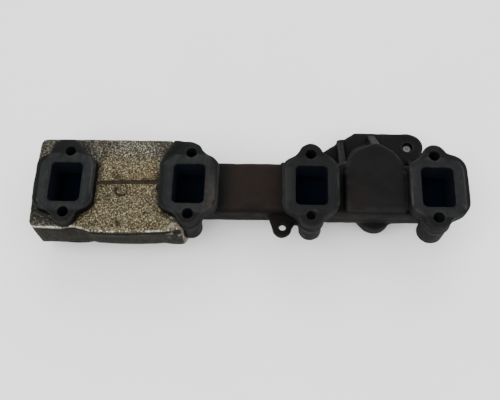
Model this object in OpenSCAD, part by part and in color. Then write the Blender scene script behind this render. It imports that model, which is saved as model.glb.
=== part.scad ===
// Four-port log exhaust manifold with a two-shell heat shield.
// Frame: origin at the middle of the head bolt pattern in the port face plane,
// +X along the row of ports towards the outlet end, +Y towards the upper row
// of head bolts, +Z out of the port faces. Millimetres.

/* [Head joint] */
// Distance between the outer two columns of head bolts
bolt_span_outer = 348; // [344:1:352]
// Distance between the inner two columns of head bolts
bolt_span_inner = 114.4; // [113:0.2:116]
// Distance between the upper and the lower row of head bolts
bolt_rows = 62.8; // [62:0.2:63.6]
// Diameter of a head bolt hole
bolt_hole_d = 10; // [9:0.5:11]
// Diameter of the tighter locating hole in the lower ear of the third port
locating_hole_d = 8.6; // [8:0.2:9]
// Thickness of the port flanges
flange_t = 14; // [12:0.5:14]
// Radius of the ears round the bolt holes
ear_r = 10.8; // [10.4:0.1:11]
// Radius of the bolt bosses behind the ears
boss_r = 10.5; // [10:0.1:10.6]
// Length of the bolt bosses from the port face
boss_l = 39; // [36:0.5:40]

/* [Ports] */
// Distance between the centres of the outer two ports
port_span_outer = 350.8; // [349:0.4:352]
// Distance between the centres of the inner two ports
port_span_inner = 115.8; // [115:0.2:117]
// Width of a port opening
port_w = 30; // [28:0.5:31]
// Height of a port opening
port_h = 40; // [38:0.5:41]
// Corner radius of a port opening
port_r = 4.5; // [4:0.5:6]
// Shift of the port centres towards the lower bolts
port_drop = 0.9; // [0:0.1:1.5]

/* [Log] */
// Depth of the front of the log behind the port face
log_front = 21; // [20.5:0.5:22]
// Depth of the back of the log behind the port face
log_back = 60; // [59:0.5:60]
// Lower side of the log
log_y0 = -19.8; // [-20.5:0.1:-19]
// Upper side of the log
log_y1 = 32.6; // [31:0.1:33.5]
// Wall thickness of the casting
wall = 5.5; // [5:0.25:6]

/* [Outlet] */
// Depth of the outlet face behind the port face
outlet_z = 62; // [61:0.5:63]
// Thickness of the outlet flange
outlet_t = 12; // [11:0.5:13]
// Radius of the outlet bore
outlet_r = 24; // [22:0.5:24.5]
// Radius of the circle through the three outlet studs
outlet_stud_circle = 47.1; // [46.5:0.1:47.5]
// Radius of the ears round the outlet studs
outlet_ear_r = 15.7; // [15:0.1:16]
// Radius of an outlet stud
stud_r = 5; // [4:0.5:5]

/* [Heat shield] */
// Left end of the shield
shield_x0 = -207.6; // [-208:0.1:-206]
// Right end of the lower shell
lower_x1 = -62; // [-63:0.5:-62]
// Right end of the upper shell
upper_x1 = -75.5; // [-76:0.5:-75]
// Lower side of the shield
shield_y0 = -47.2; // [-47.8:0.1:-47.2]
// Upper side of the shield
shield_y1 = 50; // [49.5:0.1:50.5]
// Depth of the front of the shield behind the port face
shield_front = 9; // [8:0.25:9]
// Depth of the back of the shield behind the port face
shield_back = 71; // [71:0.2:72]
// Height of the seam between the two shells
seam_y = 3.2; // [3:0.1:3.6]
// Width of the open gap along the front seam
seam_gap = 3.2; // [2.4:0.2:4]
// Thickness of the outer skin
skin_t = 0.8; // [0.6:0.1:0.8]
// Thickness of the insulating felt
felt_t = 3; // [2.6:0.1:3]
// Thickness of the inner liner
liner_t = 0.5; // [0.4:0.1:0.5]

/* [Hidden] */
$fn = 96;

bolt_x = [-bolt_span_outer / 2, -bolt_span_inner / 2, bolt_span_inner / 2, bolt_span_outer / 2];
bolt_y = bolt_rows / 2;
port_x = [-port_span_outer / 2, -port_span_inner / 2, port_span_inner / 2, port_span_outer / 2];
flange_cx = [-176.4, -58, 57.2, 176.3];
flange_hw = [28.2, 28, 26.5, 26.5];
ear_extra = [0.7, 0, 0.5, 0.4];
flange_hh = 28;
log_x0 = -198;
log_x1 = 196;
log_rf = 6;
log_rb = 19;

// collector dome in front, outlet neck behind
dome = [119.5, 21.5];
dome_r = 28.5;
dome_front = 12;
outlet = [122, 36.9];
neck_r = 29.5;
neck_front = 44;
flange_z = outlet_z - outlet_t;
function on_circle(a) = [outlet[0] + outlet_stud_circle * cos(a), outlet[1] + outlet_stud_circle * sin(a)];
stud_upper_right = on_circle(38.2);
stud_upper_left = on_circle(173.2);
stud_lower = on_circle(269.8);
foot_z = 77;
stud_top = flange_z + 4;

// heat shield fixings on the back
fix_x = [-150, -90];
fix_y = [13.5, -6];
head_h = 4.8;
washer_t = 1.2;
fit = 0.05;
neck_w = 44;
neck_h = 52.2;
neck_y = 0.8;
neck_back = 31;
shield_in = skin_t + felt_t + liner_t;
shield_rf = 5;
shield_rb = 36;
shield_rt = 28;

cast = [0.17, 0.16, 0.15];
silver = [0.62, 0.59, 0.52];
wool = [0.75, 0.73, 0.66];
steel = [0.45, 0.42, 0.38];

// ---- outlines ----
module rounded(w, h, r) {
    square([w - 2 * r, h], center = true);
    square([w, h - 2 * r], center = true);
    for (x = [-1, 1], y = [-1, 1])
        translate([x * (w / 2 - r), y * (h / 2 - r)]) circle(r);
}

// band of width 2r with round ends between two points
module band(a, b, r) {
    d = b - a;
    n = [-d[1], d[0]] / norm(d) * r;
    polygon([a + n, b + n, b - n, a - n]);
    translate(a) circle(r);
    translate(b) circle(r);
}

// side outline with its own front radius and lower and upper back radii: first axis y, second axis z
module side_outline(y0, y1, z0, z1, rf, rb, rt) {
    big = max(rb, rt);
    small = min(rb, rt);
    translate([y0, -z1 + big]) square([y1 - y0, z1 - big - z0 - rf]);
    translate([y0 + rf, -z1 + big - 1]) square([y1 - y0 - 2 * rf, z1 - big - z0 + 1]);
    translate([rb > rt ? y0 + rb : y0, -z1 + small]) square([y1 - y0 - big, z1 - z0 - small - rf]);
    translate([y0 + rb, -z1]) square([y1 - y0 - rb - rt, big + 1]);
    for (y = [y0 + rf, y1 - rf]) translate([y, -z0 - rf]) circle(rf);
    for (p = [[y0 + rb, rb], [y1 - rt, rt]]) intersection() {
        translate([p[0], -z1 + p[1]]) circle(p[1]);
        translate([p[0] - p[1], -z1]) square([2 * p[1], p[1] + 1]);
    }
}

// runs a side outline along x
module along_x(x0, x1) {
    translate([x0, 0, 0]) rotate([90, 0, 90]) linear_extrude(x1 - x0) children();
}

// slab between two depths behind the port face
module slab(z0, z1) {
    translate([0, 0, -z1]) linear_extrude(z1 - z0) children();
}

// flat plate of thickness t centred on x, its outline in y and z
module plate_x(x, t) {
    along_x(x - t / 2, x + t / 2) children();
}

// outline of port flange i, grown by c
module flange_outline(i, c = 0) {
    hw = flange_hw[i];
    cx = flange_cx[i];
    er = ear_r + ear_extra[i] + c;
    translate([cx, -0.2]) rounded(2 * (hw + c), 2 * (flange_hh + c), 12 + c);
    for (t = [-1, 1]) {
        translate([bolt_x[i], t * bolt_y]) circle(er);
        // straight flanks from the ear down to the shoulders
        polygon([[bolt_x[i] - er * 0.94, t * (bolt_y + 3.6)], [bolt_x[i] + er * 0.94, t * (bolt_y + 3.6)],
                 [cx + hw * (t > 0 ? 0.72 : 0.62) + c, t * 26], [cx - hw * 0.62 - c, t * 26]]);
    }
    // the end flange has a wider upper ear
    if (i == 0) {
        translate([bolt_x[0] - 7, bolt_y + 0.4]) circle(er);
        translate([bolt_x[0] - 7, bolt_y]) square([8, er + 0.4]);
    }
}

// web that fills the corner beside the second port's upper ear
module web_outline(c = 0) {
    polygon([[-58, 42 + c], [-64, 43.6 + c], [-69, 44.8 + c], [-74 - c / 2, 45 + c], [-79 - c, 38.5 + c / 2], [-83.5 - c, 29 + c / 2], [-84.8 - c, 18], [-58, 14]]);
}

module lugs_outline() {
    r = outlet_ear_r;
    band(stud_upper_left, stud_lower, r);
    band(stud_lower, stud_upper_right, r);
    translate(stud_upper_right) circle(r);
    polygon([stud_upper_left, stud_lower, stud_upper_right]);
    // flat upper edge with a slanted shoulder to the upper left ear
    polygon([stud_upper_right, [stud_upper_right[0], stud_upper_right[1] + r], [105, stud_upper_right[1] + r],
             stud_upper_left + [-0.564 * r, 0.826 * r], stud_upper_left]);
    // rim round the bore
    translate(outlet) circle(outlet_r + 9);
}

// ---- casting ----
module casting_body() {
    for (i = [0:3]) {
        slab(0, flange_t) flange_outline(i);
        // runner neck between the flange and the log
        slab(flange_t - 1, neck_back) translate([port_x[i], neck_y]) rounded(neck_w, neck_h, 10);
        for (s = [-1, 1]) {
            slab(flange_t - 1, boss_l) translate([bolt_x[i], s * bolt_y]) circle(boss_r);
            slab(flange_t - 1, boss_l - 5) translate([bolt_x[i] - 6, s > 0 ? 10 : -26]) square([12, 16]);
        }
    }
    // log
    along_x(log_x0, log_x1) side_outline(log_y0, log_y1, log_front, log_back, log_rf, log_rb, log_rb);
    // web beside the second port's upper ear
    slab(2, flange_t + 3) web_outline();
    // rounded shoulder behind the end flange and the wider foot of its lower boss
    slab(2, 20) translate([186.8, 3.45]) rounded(33.6, 60.9, 15);
    slab(flange_t - 1, boss_l) translate([171.6, -31]) circle(boss_r + 1.2);
    // collector dome
    slab(dome_front, flange_z + 2) {
        translate(dome) circle(dome_r);
        translate([dome[0] - dome_r, log_y0 + 3.2]) square([2 * dome_r, dome[1] - log_y0 - 3.2]);
    }
    slab(dome_front, log_front + 10) translate([dome[0] - dome_r, log_y0]) square([2 * dome_r, dome[1] - log_y0]);
    // lower ledge under the dome
    slab(log_front - 0.6, flange_z) translate([dome[0] - 47, log_y0 + 2]) square([94, 20]);
    slab(log_front - 0.6, log_front + 10) translate([dome[0] - 47, log_y0 - 1.2]) square([94, 20]);
    // outlet neck and flange
    slab(neck_front, flange_z + 2) translate(outlet) circle(neck_r);
    slab(flange_z, outlet_z) lugs_outline();
    // ribs from the log and the dome to the upper edge of the outlet flange
    plate_x(90, 6) polygon([[20, -log_front - 0.5], [30.4, -log_front - 0.5], [73.5, -flange_z], [73.5, -flange_z - 4], [20, -flange_z - 4]]);
    plate_x(122, 7) polygon([[40, -dome_front - 1], [49.4, -dome_front - 1], [79, -flange_z], [79, -flange_z - 4], [40, -flange_z - 4]]);
    plate_x(160, 5) polygon([[20, -log_front - 8], [30, -log_front - 8], [52, -flange_z], [52, -flange_z - 4], [20, -flange_z - 4]]);
    // bracket tab below the third port
    slab(30, 36) {
        band([30.8, -32.1], [30.8, -31], 9.3);
        polygon([[21.9, -35], [38.9, -35], [42.4, -28.8], [47, -28.6], [50, -29.3], [52, -18], [16.5, -18]]);
    }
    // bosses for the heat shield bolts
    for (x = fix_x, y = fix_y)
        slab(log_back - 3, shield_back - shield_in - 2 * fit) translate([x, y]) circle(6.5);
}

module casting_hollows() {
    for (i = [0:3]) {
        slab(-1, log_front + wall + 1) translate([port_x[i], -port_drop]) rounded(port_w, port_h, port_r);
        for (s = [-1, 1])
            slab(-1, boss_l + 1) translate([bolt_x[i], s * bolt_y])
                circle(d = i == 2 && s < 0 ? locating_hole_d : bolt_hole_d);
    }
    // log passage
    along_x(log_x0 + wall, log_x1 - wall)
        side_outline(log_y0 + wall, log_y1 - wall, log_front + wall, log_back - wall, 3, log_rb - wall, log_rb - wall);
    // collector chamber and outlet bore
    slab(dome_front + wall, log_back - wall) translate(dome) circle(dome_r - wall);
    slab(neck_front + 4, outlet_z + 1) translate(outlet) circle(outlet_r);
    // tab hole
    slab(29, 37) translate([31.2, -32.1]) circle(3.4);
    for (p = [stud_upper_left, stud_upper_right, stud_lower])
        slab(flange_z - 8, outlet_z + 1) translate(p) circle(stud_r);
    for (x = fix_x, y = fix_y)
        slab(57.5, 80) translate([x, y]) circle(3 + fit);
}

module manifold_casting() color(cast) difference() {
    casting_body();
    casting_hollows();
}

// ---- heat shield ----
// right end of the upper (s > 0) or the lower (s < 0) shell
function right_end(s) = s > 0 ? upper_x1 : lower_x1;

// closed block inset by o from the outer faces of a shell
module shield_block(s, o) {
    along_x(shield_x0 + o, right_end(s) - o)
        side_outline(shield_y0 + o, shield_y1 - o, shield_front + o, shield_back - o, shield_rf - o, shield_rb - o, shield_rt - o);
}

// openings for the runner necks, the bolt bosses, the web and the log at the right end
module shield_openings(s, c) {
    for (i = [0, 1]) {
        slab(-1, flange_t + c) flange_outline(i, c);
        slab(flange_t - 1, neck_back + c) translate([port_x[i], neck_y]) rounded(neck_w + 2 * c, neck_h + 2 * c, 10 + c);
        for (t = [-1, 1]) {
            slab(flange_t - 1, boss_l + c) translate([bolt_x[i], t * bolt_y]) circle(boss_r + c);
            slab(flange_t - 1, boss_l - 5 + c) translate([bolt_x[i] - 6 - c, t > 0 ? 10 : -bolt_y]) square([12 + 2 * c, bolt_y - 10]);
        }
    }
    slab(-1, flange_t + 3 + c) web_outline(c);
    along_x(right_end(s) - 6, right_end(s) + 5)
        side_outline(log_y0 - c, log_y1 + c, 5, log_back + c, 1, log_rb + c, log_rb + c);
}

module shield_layer(s, o, t, c) difference() {
    shield_block(s, o);
    shield_block(s, o + t);
    shield_openings(s, c);
}

// keeps the half above (s > 0) or below (s < 0) the seam
module half(s, gap) intersection() {
    children();
    translate([-300, s > 0 ? seam_y + gap : seam_y - gap - 200, -100]) cube([300, 200, 100]);
}

module fix_holes(r, s) {
    for (x = fix_x) slab(60, 80) translate([x, fix_y[s > 0 ? 0 : 1]]) circle(r);
}

module shell_skin(s) color(silver) difference() {
    half(s, 0.3) shield_layer(s, 0, skin_t, 0.7);
    // wider gap along the front seam
    translate([-160, seam_y - seam_gap / 2, -shield_front - skin_t - 1]) cube([80, seam_gap, 3]);
    fix_holes(3.4, s);
}

module shell_felt(s) color(wool) difference() {
    half(s, 0.1) shield_layer(s, skin_t, felt_t, 1.6);
    strip_block(0.2);
    fix_holes(6.1, s);
}

module shell_liner(s) color(steel) difference() {
    half(s, 0.3) shield_layer(s, skin_t + felt_t, liner_t, 1.2);
    fix_holes(6.1, s);
}

module strip_block(c) {
    translate([-145.5 - c, seam_y - 6 - c, -shield_front - skin_t - 0.8 - c])
        cube([57.5 + 2 * c, 12 + 2 * c, 0.8 + c + (c > 0 ? 1 : 0)]);
}

module shield_upper_skin() shell_skin(1);
module shield_upper_felt() shell_felt(1);
module shield_upper_liner() shell_liner(1);
module shield_lower_skin() shell_skin(-1);
module shield_lower_felt() shell_felt(-1);
module shield_lower_liner() shell_liner(-1);
module shield_seam_strip() color(steel) strip_block(0);

// ---- fasteners ----
module shield_bolt(i, j) color(steel) translate([fix_x[i], fix_y[j], 0]) {
    slab(foot_z - head_h, foot_z) circle(5.6, $fn = 6);
    slab(58.5, foot_z - head_h + 1) circle(3);
}

module shield_washer(i, j) color(steel) translate([fix_x[i], fix_y[j], 0])
    slab(shield_back, shield_back + washer_t) difference() { circle(7.5); circle(3.3); }

module shield_spacer(i, j) color(steel) translate([fix_x[i], fix_y[j], 0])
    slab(shield_back - shield_in - fit, shield_back - skin_t - fit) difference() { circle(6); circle(3.3); }

// a relief groove parts the set end from the free end
module outlet_stud(p) color(steel) translate([p[0], p[1], -foot_z]) rotate_extrude()
    polygon([[0, 0], [stud_r - 1, 0], [stud_r, 1], [stud_r, foot_z - outlet_z],
             [stud_r - 0.7, foot_z - outlet_z + 0.7], [stud_r - 0.7, foot_z - outlet_z + 1.3], [stud_r, foot_z - outlet_z + 2],
             [stud_r, foot_z - stud_top - 1], [stud_r - 1, foot_z - stud_top], [0, foot_z - stud_top]]);

module shield_bolt_upper_left() shield_bolt(0, 0);
module shield_bolt_upper_right() shield_bolt(1, 0);
module shield_bolt_lower_left() shield_bolt(0, 1);
module shield_bolt_lower_right() shield_bolt(1, 1);
module shield_washer_upper_left() shield_washer(0, 0);
module shield_washer_upper_right() shield_washer(1, 0);
module shield_washer_lower_left() shield_washer(0, 1);
module shield_washer_lower_right() shield_washer(1, 1);
module shield_spacer_upper_left() shield_spacer(0, 0);
module shield_spacer_upper_right() shield_spacer(1, 0);
module shield_spacer_lower_left() shield_spacer(0, 1);
module shield_spacer_lower_right() shield_spacer(1, 1);
module outlet_stud_upper_left() outlet_stud(stud_upper_left);
module outlet_stud_upper_right() outlet_stud(stud_upper_right);
module outlet_stud_lower() outlet_stud(stud_lower);

manifold_casting();
shield_upper_skin();
shield_upper_felt();
shield_upper_liner();
shield_lower_skin();
shield_lower_felt();
shield_lower_liner();
shield_seam_strip();
shield_bolt_upper_left();
shield_bolt_upper_right();
shield_bolt_lower_left();
shield_bolt_lower_right();
shield_washer_upper_left();
shield_washer_upper_right();
shield_washer_lower_left();
shield_washer_lower_right();
shield_spacer_upper_left();
shield_spacer_upper_right();
shield_spacer_lower_left();
shield_spacer_lower_right();
outlet_stud_upper_left();
outlet_stud_upper_right();
outlet_stud_lower();
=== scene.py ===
import math
import bpy
import numpy as np
from mathutils import Matrix, Vector


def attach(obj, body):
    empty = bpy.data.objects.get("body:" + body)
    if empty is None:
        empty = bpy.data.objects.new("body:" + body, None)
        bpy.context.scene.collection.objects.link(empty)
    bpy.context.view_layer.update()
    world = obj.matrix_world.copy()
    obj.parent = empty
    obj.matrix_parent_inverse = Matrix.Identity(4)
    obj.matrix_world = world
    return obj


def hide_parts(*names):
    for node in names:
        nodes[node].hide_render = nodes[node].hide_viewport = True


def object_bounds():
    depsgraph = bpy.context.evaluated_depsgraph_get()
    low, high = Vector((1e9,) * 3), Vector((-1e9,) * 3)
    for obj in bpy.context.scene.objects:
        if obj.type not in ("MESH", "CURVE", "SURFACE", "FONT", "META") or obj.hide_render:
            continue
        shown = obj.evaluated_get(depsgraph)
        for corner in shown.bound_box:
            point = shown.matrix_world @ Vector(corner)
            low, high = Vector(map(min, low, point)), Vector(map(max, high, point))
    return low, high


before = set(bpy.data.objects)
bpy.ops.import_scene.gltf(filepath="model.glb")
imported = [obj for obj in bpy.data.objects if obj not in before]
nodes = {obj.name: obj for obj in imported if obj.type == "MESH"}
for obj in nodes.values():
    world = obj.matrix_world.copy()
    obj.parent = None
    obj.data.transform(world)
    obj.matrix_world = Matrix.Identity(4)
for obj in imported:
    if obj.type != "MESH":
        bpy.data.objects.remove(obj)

cad_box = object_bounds()

# All modelling below is in millimetres in the CAD frame; meshes are written in metres.
BOLT_X = (-174.0, -57.2, 57.2, 174.0)
BOLT_Y = 31.4
PORT_X = (-175.4, -57.9, 57.9, 175.4)
PORT_Y = -0.9
FLANGE_CX = (-176.4, -58.0, 57.2, 176.3)
FLANGE_HW = (28.2, 28.0, 26.5, 26.5)
EAR_EXTRA = (0.7, 0.0, 0.5, 0.4)
EAR_R = 10.8
OUTLET = (122.0, 36.9)
STUDS = [(122 + 47.1 * math.cos(math.radians(a)), 36.9 + 47.1 * math.sin(math.radians(a))) for a in (38.2, 173.2, 269.8)]
DOME = (119.5, 21.5)
SEAM_Y = 3.2
SHIELD = dict(x0=-207.6, y0=-47.2, y1=50.0, front=9.0, back=71.0, rf=5.0, rb=36.0, rt=28.0)
FIX_X = (-150.0, -90.0)
FIX_Y = {1: 13.5, -1: -6.0}


# ---------------------------------------------------------------- noise
def hash3(i, j, k, seed):
    n = (i.astype(np.int64) * 73856093) ^ (j.astype(np.int64) * 19349663) ^ (k.astype(np.int64) * 83492791) ^ (seed * 2654435761)
    n = (n ^ (n >> 13)) * 1274126177 & 0x7FFFFFFF
    n = (n ^ (n >> 15)) * 668265263 & 0x7FFFFFFF
    return ((n ^ (n >> 11)) & 0xFFFFF) / 1048575.0


def vnoise(p, pitch, seed):
    """Smooth value noise from -1 to 1 at points p (n, 3), one random value per lattice point pitch apart."""
    q = p / pitch + 1000.0
    i = np.floor(q).astype(np.int64)
    f = q - i
    f = f * f * f * (f * (f * 6 - 15) + 10)
    out = 0
    for dx in (0, 1):
        wx = f[:, 0] if dx else 1 - f[:, 0]
        for dy in (0, 1):
            wy = f[:, 1] if dy else 1 - f[:, 1]
            for dz in (0, 1):
                wz = f[:, 2] if dz else 1 - f[:, 2]
                out = out + wx * wy * wz * hash3(i[:, 0] + dx, i[:, 1] + dy, i[:, 2] + dz, seed)
    return out * 2 - 1


def fbm(p, pitch, seed, octaves=3, gain=0.5):
    out, a, t = 0, 1.0, 0
    for o in range(octaves):
        out = out + a * vnoise(p, pitch / 2 ** o, seed + 17 * o)
        t += a
        a *= gain
    return out / t


def cells(p, pitch, seed):
    """Distance to the nearest and the second nearest random cell centre, in pitches."""
    q = p / pitch + 1000.0
    i = np.floor(q).astype(np.int64)
    f1 = np.full(len(p), 9.0)
    f2 = np.full(len(p), 9.0)
    for dx in (-1, 0, 1):
        for dy in (-1, 0, 1):
            for dz in (-1, 0, 1):
                c = [i[:, 0] + dx, i[:, 1] + dy, i[:, 2] + dz]
                d = 0
                for ax in range(3):
                    d = d + (c[ax] + 0.15 + 0.7 * hash3(c[0], c[1], c[2], seed + 31 * ax) - q[:, ax]) ** 2
                d = np.sqrt(d)
                f2 = np.minimum(f2, np.maximum(f1, d))
                f1 = np.minimum(f1, d)
    return f1, f2


def lattice_noise(xs, ys, zs, pitch, seed):
    """Cubic lattice noise on a whole grid, built axis by axis."""
    rs = np.random.RandomState(seed)
    mats = []
    for c in (xs, ys, zs):
        t = (c - c[0]) / pitch + 1.0
        i = np.floor(t).astype(int)
        f = t - i
        n = i.max() + 3
        w = np.zeros((len(c), n))
        k = np.arange(len(c))
        for o, v in enumerate(((1 - f) ** 3 / 6, (3 * f ** 3 - 6 * f ** 2 + 4) / 6, (-3 * f ** 3 + 3 * f ** 2 + 3 * f + 1) / 6, f ** 3 / 6)):
            w[k, i - 1 + o] += v
        mats.append(w)
    r = rs.uniform(-1, 1, [m.shape[1] for m in mats])
    r = np.tensordot(mats[0], r, (1, 0))
    r = np.tensordot(r, mats[1], (1, 1))
    r = np.tensordot(r, mats[2], (1, 1))
    return r.astype(np.float32) * 1.8


# ---------------------------------------------------------------- distance functions
def box2(x, y, cx, cy, w, h, r):
    qx = np.abs(x - cx) - w / 2 + r
    qy = np.abs(y - cy) - h / 2 + r
    return np.hypot(np.maximum(qx, 0), np.maximum(qy, 0)) + np.minimum(np.maximum(qx, qy), 0) - r


def circ(x, y, cx, cy, r):
    return np.hypot(x - cx, y - cy) - r


def seg(x, y, a, b, r):
    bx, by = b[0] - a[0], b[1] - a[1]
    t = np.clip(((x - a[0]) * bx + (y - a[1]) * by) / (bx * bx + by * by + 1e-9), 0, 1)
    return np.hypot(x - a[0] - t * bx, y - a[1] - t * by) - r


def poly(x, y, pts):
    d = np.full(np.broadcast(x, y).shape, 1e9)
    s = np.ones(d.shape)
    n = len(pts)
    for k in range(n):
        a, b = pts[k], pts[k - 1]
        ex, ey = b[0] - a[0], b[1] - a[1]
        wx, wy = x - a[0], y - a[1]
        t = np.clip((wx * ex + wy * ey) / (ex * ex + ey * ey), 0, 1)
        d = np.minimum(d, (wx - t * ex) ** 2 + (wy - t * ey) ** 2)
        c1, c2, c3 = y >= a[1], y < b[1], ex * wy > ey * wx
        s = np.where((c1 & c2 & c3) | (~c1 & ~c2 & ~c3), -s, s)
    return s * np.sqrt(d)


def smin(a, b, k):
    if k <= 0:
        return np.minimum(a, b)
    h = np.maximum(k - np.abs(a - b), 0) / k
    return np.minimum(a, b) - h * h * k / 4


def smax(a, b, k):
    return -smin(-a, -b, k)


def ext(d2, z, z0, z1, r=0.0):
    """2D distance d2 extruded between depths z0 and z1 behind the port face, edges rounded by r."""
    w = np.abs(z + (z0 + z1) / 2) - (z1 - z0) / 2 + r
    d = d2 + r
    return np.minimum(np.maximum(d, w), 0) + np.hypot(np.maximum(d, 0), np.maximum(w, 0)) - r


def flange2(i, x, y, grow=0.0, soft=5.0):
    hw, cx = FLANGE_HW[i], FLANGE_CX[i]
    er = EAR_R + EAR_EXTRA[i]
    d = box2(x, y, cx, -0.2, 2 * hw, 56, 12)
    for t in (-1, 1):
        bx = BOLT_X[i]
        e = circ(x, y, bx, t * BOLT_Y, er)
        if i == 0 and t > 0:
            e = np.minimum(e, seg(x, y, (bx, BOLT_Y + 0.4), (bx - 7, BOLT_Y + 0.4), er))
        e = np.minimum(e, poly(x, y, [(bx - er * 0.94, t * (BOLT_Y + 3.6)), (bx + er * 0.94, t * (BOLT_Y + 3.6)), (cx + hw * (0.72 if t > 0 else 0.62), t * 26), (cx - hw * 0.62, t * 26)]))
        d = smin(d, e, soft)
    return d - grow


WEB = [(-58, 42.0), (-64, 43.6), (-69, 44.8), (-74, 45.0), (-79, 38.5), (-83.5, 29), (-84.8, 18), (-58, 14)]


def log2(y, z, grow=0.0):
    """Cross-section of the log: front corners 6 mm, back corners 19 mm."""
    r = np.where(z > -40.5, 6.0, 19.0)
    qx = np.abs(y - 6.4) - 26.2 + r
    qy = np.abs(z + 40.5) - 19.5 + r
    return np.hypot(np.maximum(qx, 0), np.maximum(qy, 0)) + np.minimum(np.maximum(qx, qy), 0) - r - grow


# ---------------------------------------------------------------- mesh helpers
def surface_nets(F, origin, h):
    S = F < 0
    n = [s - 1 for s in F.shape]
    cnt = np.zeros(n, np.uint8)
    for a in (0, 1):
        for b in (0, 1):
            for c in (0, 1):
                cnt += S[a:a + n[0], b:b + n[1], c:c + n[2]]
    C = (cnt > 0) & (cnt < 8)
    idx = np.full(n, -1, np.int64)
    ci, cj, ck = np.nonzero(C)
    idx[ci, cj, ck] = np.arange(len(ci))
    acc = np.zeros((len(ci), 3))
    num = np.zeros(len(ci))
    for ax in range(3):
        o = [k for k in range(3) if k != ax]
        for a in (0, 1):
            for b in (0, 1):
                off = [0, 0, 0]
                off[o[0]], off[o[1]] = a, b
                off2 = list(off)
                off2[ax] = 1
                fa = F[ci + off[0], cj + off[1], ck + off[2]].astype(float)
                fb = F[ci + off2[0], cj + off2[1], ck + off2[2]].astype(float)
                m = (fa < 0) != (fb < 0)
                t = fa[m] / (fa[m] - fb[m])
                p = np.tile(np.array(off, float), (m.sum(), 1))
                p[:, ax] = t
                acc[m] += p
                num[m] += 1
    v = (np.stack([ci, cj, ck], 1) + acc / num[:, None]) * h + np.array(origin)
    quads = []
    for ax in range(3):
        o = [(ax + 1) % 3, (ax + 2) % 3]
        sl = [slice(None)] * 3
        sl2 = [slice(None)] * 3
        sl[ax], sl2[ax] = slice(0, -1), slice(1, None)
        A, B = S[tuple(sl)], S[tuple(sl2)]
        g = np.stack(np.nonzero(A != B), 1)
        g = g[(g[:, o[0]] > 0) & (g[:, o[1]] > 0) & (g[:, o[0]] < n[o[0]]) & (g[:, o[1]] < n[o[1]])]
        inside = A[g[:, 0], g[:, 1], g[:, 2]]
        q = []
        for da, db in ((-1, -1), (0, -1), (0, 0), (-1, 0)):
            c = g.copy()
            c[:, o[0]] += da
            c[:, o[1]] += db
            q.append(idx[c[:, 0], c[:, 1], c[:, 2]])
        q = np.stack(q, 1)
        q[~inside] = q[~inside][:, ::-1]
        quads.append(q)
    q = np.concatenate(quads)
    return v, q[(q >= 0).all(1)]


def sample(F, origin, h, p):
    q = (p - np.array(origin)) / h
    i = np.clip(np.floor(q).astype(int), 0, np.array(F.shape) - 2)
    f = np.clip(q - i, 0, 1)
    out = 0
    for a in (0, 1):
        for b in (0, 1):
            for c in (0, 1):
                w = (f[:, 0] if a else 1 - f[:, 0]) * (f[:, 1] if b else 1 - f[:, 1]) * (f[:, 2] if c else 1 - f[:, 2])
                out = out + w * F[i[:, 0] + a, i[:, 1] + b, i[:, 2] + c]
    return out


def blur(F, r):
    for ax in range(3):
        G = np.zeros_like(F)
        w = np.exp(-0.5 * (np.arange(-r, r + 1) / (r / 1.7)) ** 2)
        w /= w.sum()
        P = np.pad(F, [(r, r) if k == ax else (0, 0) for k in range(3)], mode="edge")
        for k in range(2 * r + 1):
            sl = [slice(None)] * 3
            sl[ax] = slice(k, k + F.shape[ax])
            G += np.float32(w[k]) * P[tuple(sl)]
        F = G
    return F


def add_mesh(name, v_mm, polys, attrs=None, angle=None, limit=None):
    """polys: list of arrays (n, 3) or (n, 4), or lists of index tuples."""
    me = bpy.data.meshes.new(name)
    loops, tot = [], []
    for p in polys:
        if isinstance(p, np.ndarray):
            loops.append(p.ravel())
            tot.append(np.full(len(p), p.shape[1]))
        else:
            loops.append(np.array([k for f in p for k in f], np.int64))
            tot.append(np.array([len(f) for f in p], np.int64))
    loops = np.concatenate(loops).astype(np.int32)
    tot = np.concatenate(tot).astype(np.int32)
    me.vertices.add(len(v_mm))
    me.vertices.foreach_set("co", (np.asarray(v_mm, float) / 1000.0).astype(np.float32).ravel())
    me.loops.add(len(loops))
    me.loops.foreach_set("vertex_index", loops)
    me.polygons.add(len(tot))
    me.polygons.foreach_set("loop_start", np.concatenate([[0], np.cumsum(tot)[:-1]]).astype(np.int32))
    me.update(calc_edges=True)
    for key, val in (attrs or {}).items():
        a = me.attributes.new(key, "FLOAT", "POINT")
        a.data.foreach_set("value", np.clip(val, 0, 1).astype(np.float32))
    me.validate()
    ob = bpy.data.objects.new(name, me)
    bpy.context.scene.collection.objects.link(ob)
    me.calc_loop_triangles()
    tris = len(me.loop_triangles)
    if limit and tris > limit:
        mod = ob.modifiers.new("thin", "DECIMATE")
        mod.ratio = limit / tris
        me2 = bpy.data.meshes.new_from_object(ob.evaluated_get(bpy.context.evaluated_depsgraph_get()))
        ob.modifiers.clear()
        ob.data = me2
        me2.name = name
        bpy.data.meshes.remove(me)
        me = me2
    me.shade_smooth()
    if angle:
        me.set_sharp_from_angle(angle=math.radians(angle))
    return ob


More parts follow.
